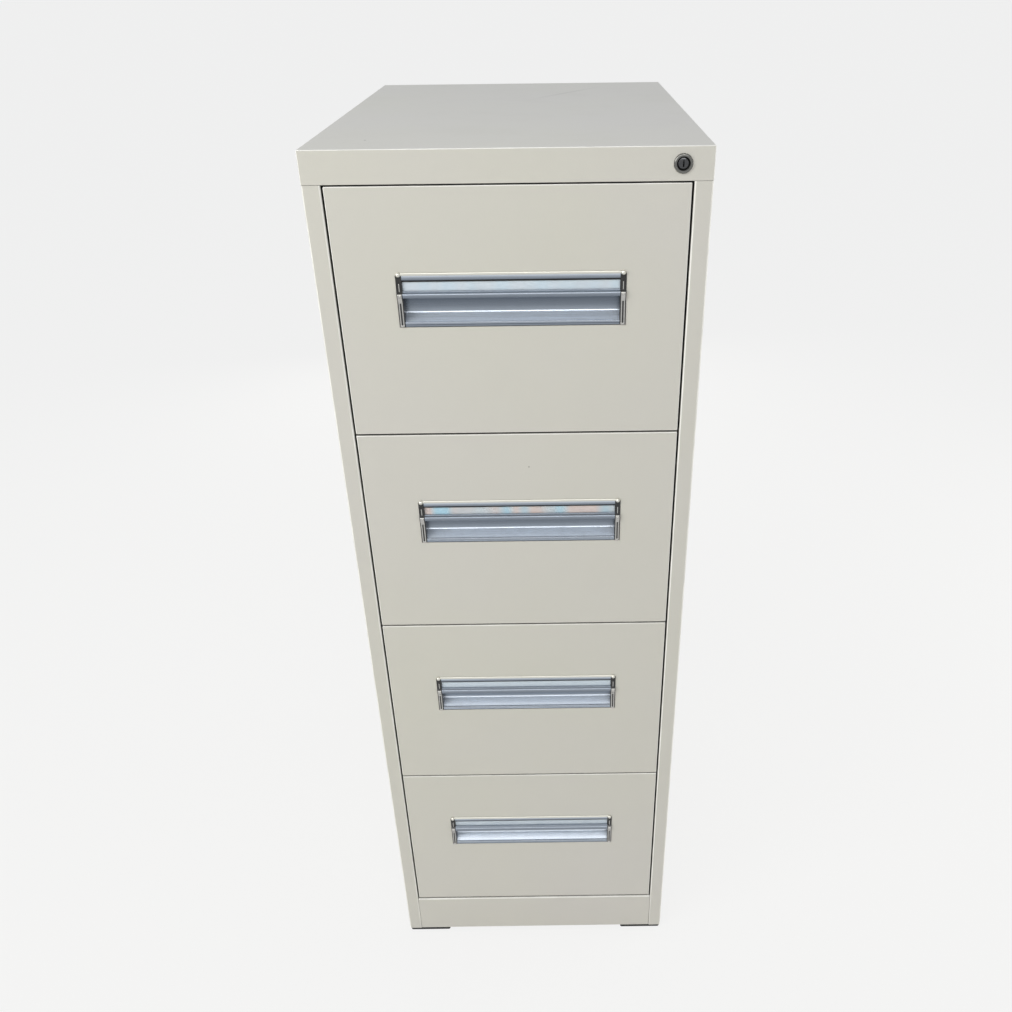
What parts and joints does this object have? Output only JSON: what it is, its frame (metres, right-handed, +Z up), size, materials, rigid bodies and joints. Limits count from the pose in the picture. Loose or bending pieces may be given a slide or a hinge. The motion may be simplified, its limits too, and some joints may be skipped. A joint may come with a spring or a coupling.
{
  "type": "metal drawer unit",
  "caption": "Tall steel filing cabinet: equal file drawers on telescopic slides, long recessed handles with label windows, one cylinder lock with a locking bar, plain plinth and feet.",
  "frame": {"origin": "centre of the bounding box on the floor, under the feet", "axes": "+X to the right seen from the front, +Y from the drawer fronts to the back, +Z up"},
  "size_m": [0.45, 0.6244, 1.327],
  "materials": {
    "case_paint": "fine textured powder coat, warm off-white",
    "zinc_steel": "zinc-plated steel",
    "handle_aluminium": "satin anodised extrusion",
    "bright_chrome": "bright plated",
    "satin_chrome": "satin plated",
    "black_plastic": "moulded, matt",
    "label_card": "blank white card",
    "clear_cover": "clear strip"
  },
  "bodies": {
    "cabinet": {"side_panel_left": "case_paint", "side_panel_right": "case_paint", "back_panel": "case_paint", "top_cover": "case_paint", "front_plinth": "case_paint", "base_tray": "case_paint", "slide_posts": "zinc_steel", "cabinet_rails": "zinc_steel", "feet": "black_plastic", "lock_housing": "satin_chrome", "lock_nut": "zinc_steel", "lock_bar_guides": "black_plastic"},
    "drawer_1": {"drawer_1_front_panel": "case_paint", "drawer_1_front_liner": "case_paint", "drawer_1_tray": "case_paint", "drawer_1_file_rails": "zinc_steel", "drawer_1_handle": "handle_aluminium", "drawer_1_handle_caps": "bright_chrome", "drawer_1_label_card": "label_card", "drawer_1_label_cover": "clear_cover", "drawer_1_slide_rails": "zinc_steel"},
    "drawer_1_middle": {"drawer_1_middle_rails": "zinc_steel", "drawer_1_ball_retainers": "zinc_steel"},
    "drawer_2": {"drawer_2_front_panel": "case_paint", "drawer_2_front_liner": "case_paint", "drawer_2_tray": "case_paint", "drawer_2_file_rails": "zinc_steel", "drawer_2_handle": "handle_aluminium", "drawer_2_handle_caps": "bright_chrome", "drawer_2_label_card": "label_card", "drawer_2_label_cover": "clear_cover", "drawer_2_slide_rails": "zinc_steel"},
    "drawer_2_middle": {"drawer_2_middle_rails": "zinc_steel", "drawer_2_ball_retainers": "zinc_steel"},
    "drawer_3": {"drawer_3_front_panel": "case_paint", "drawer_3_front_liner": "case_paint", "drawer_3_tray": "case_paint", "drawer_3_file_rails": "zinc_steel", "drawer_3_handle": "handle_aluminium", "drawer_3_handle_caps": "bright_chrome", "drawer_3_label_card": "label_card", "drawer_3_label_cover": "clear_cover", "drawer_3_slide_rails": "zinc_steel"},
    "drawer_3_middle": {"drawer_3_middle_rails": "zinc_steel", "drawer_3_ball_retainers": "zinc_steel"},
    "drawer_4": {"drawer_4_front_panel": "case_paint", "drawer_4_front_liner": "case_paint", "drawer_4_tray": "case_paint", "drawer_4_file_rails": "zinc_steel", "drawer_4_handle": "handle_aluminium", "drawer_4_handle_caps": "bright_chrome", "drawer_4_label_card": "label_card", "drawer_4_label_cover": "clear_cover", "drawer_4_slide_rails": "zinc_steel"},
    "drawer_4_middle": {"drawer_4_middle_rails": "zinc_steel", "drawer_4_ball_retainers": "zinc_steel"},
    "lock": {"lock_plug": "satin_chrome", "lock_cam": "zinc_steel", "lock_cam_screw": "zinc_steel"},
    "lock_bar": {"lock_bar": "zinc_steel"}
  },
  "joints": [
    {"name": "drawer_1_slide", "type": "slide", "parent": "cabinet", "child": "drawer_1", "axis": [0, -1, 0], "range_m": [0, 0.54]},
    {"name": "drawer_1_middle_slide", "type": "slide", "parent": "cabinet", "child": "drawer_1_middle", "axis": [0, -1, 0], "range_m": [0, 0.27]},
    {"name": "drawer_2_slide", "type": "slide", "parent": "cabinet", "child": "drawer_2", "axis": [0, -1, 0], "range_m": [0, 0.54]},
    {"name": "drawer_2_middle_slide", "type": "slide", "parent": "cabinet", "child": "drawer_2_middle", "axis": [0, -1, 0], "range_m": [0, 0.27]},
    {"name": "drawer_3_slide", "type": "slide", "parent": "cabinet", "child": "drawer_3", "axis": [0, -1, 0], "range_m": [0, 0.54]},
    {"name": "drawer_3_middle_slide", "type": "slide", "parent": "cabinet", "child": "drawer_3_middle", "axis": [0, -1, 0], "range_m": [0, 0.27]},
    {"name": "drawer_4_slide", "type": "slide", "parent": "cabinet", "child": "drawer_4", "axis": [0, -1, 0], "range_m": [0, 0.54]},
    {"name": "drawer_4_middle_slide", "type": "slide", "parent": "cabinet", "child": "drawer_4_middle", "axis": [0, -1, 0], "range_m": [0, 0.27]},
    {"name": "lock_turn", "type": "hinge", "parent": "cabinet", "child": "lock", "pos_m": [0.1906, -0.3078, 1.309], "axis": [0, -1, 0], "range_deg": [0, 90]},
    {"name": "lock_bar_slide", "type": "slide", "parent": "cabinet", "child": "lock_bar", "axis": [0, 0, 1], "range_m": [0, 0.01202]}
  ],
  "couplings": [
    {"joint": "drawer_1_middle_slide", "follows": "drawer_1_slide", "ratio": 0.5},
    {"joint": "drawer_2_middle_slide", "follows": "drawer_2_slide", "ratio": 0.5},
    {"joint": "drawer_3_middle_slide", "follows": "drawer_3_slide", "ratio": 0.5},
    {"joint": "drawer_4_middle_slide", "follows": "drawer_4_slide", "ratio": 0.5},
    {"joint": "lock_turn", "follows": "lock_bar_slide", "rad_per_m": 130.67}
  ]
}
